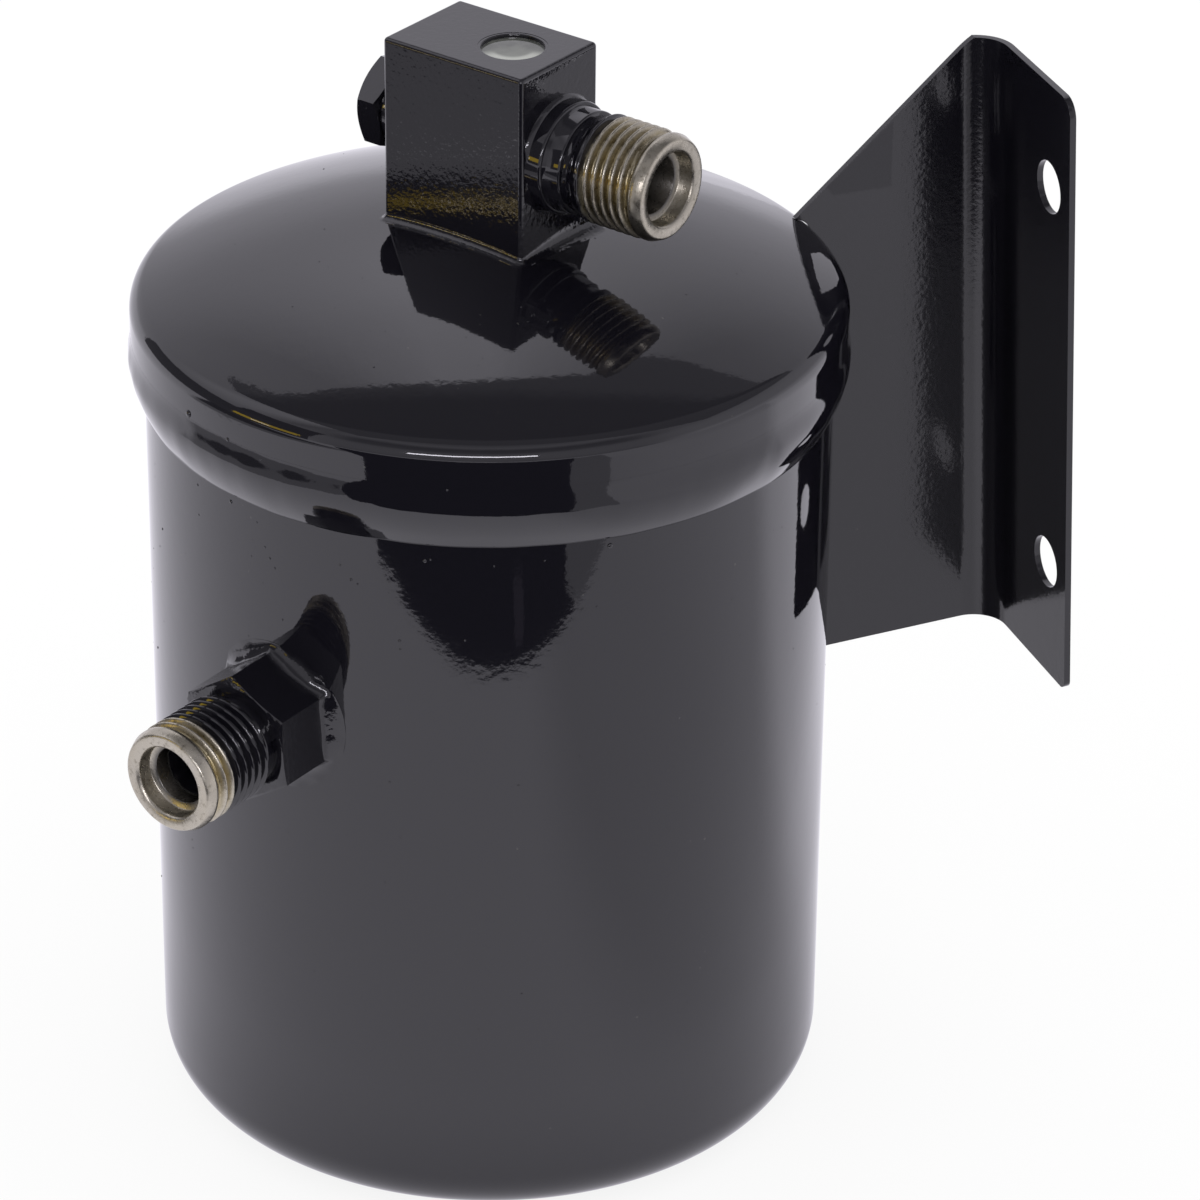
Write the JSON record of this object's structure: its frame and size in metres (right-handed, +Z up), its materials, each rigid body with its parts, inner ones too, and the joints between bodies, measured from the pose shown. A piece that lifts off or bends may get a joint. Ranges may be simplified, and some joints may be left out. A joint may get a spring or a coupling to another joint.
{
  "type": "receiver drier",
  "caption": "Black steel receiver drier can with a domed lid, sight glass block, threaded inlet and outlet fittings and a side mounting bracket.",
  "frame": {"origin": "centre of the can's flat bottom", "axes": "+Z up the can's axis, +X from the can's axis along the bracket's web, the flange reaching towards -Y"},
  "size_m": [0.1534, 0.1054, 0.1702],
  "materials": {
    "black_paint": "gloss",
    "fitting_steel": "machined",
    "shell_steel": "satin",
    "inner_steel": "satin",
    "tube_aluminium": "satin",
    "strainer_brass": "satin",
    "window_glass": "gloss",
    "seal_rubber": "matte",
    "filter_felt": "matte",
    "desiccant_beads": "matte"
  },
  "bodies": {
    "root": {"can": "black_paint", "lid": "black_paint", "lid_seam_weld": "black_paint", "top_block": "black_paint", "block_weld": "black_paint", "outlet_braze": "black_paint", "block_plug": "black_paint", "inlet_weld": "black_paint", "mounting_bracket": "black_paint", "bracket_weld": "black_paint", "outlet_fitting": "fitting_steel", "inlet_fitting": "fitting_steel", "sight_glass": "window_glass", "sight_glass_shell": "shell_steel", "sight_glass_seal": "seal_rubber", "plug_seal": "seal_rubber", "tube_grommet": "seal_rubber", "pickup_tube": "tube_aluminium", "strainer": "strainer_brass", "lower_plate": "inner_steel", "upper_plate": "inner_steel", "bed_spring": "inner_steel", "lower_filter_pad": "filter_felt", "upper_filter_pad": "filter_felt", "desiccant_bed": "desiccant_beads"}
  },
  "joints": []
}
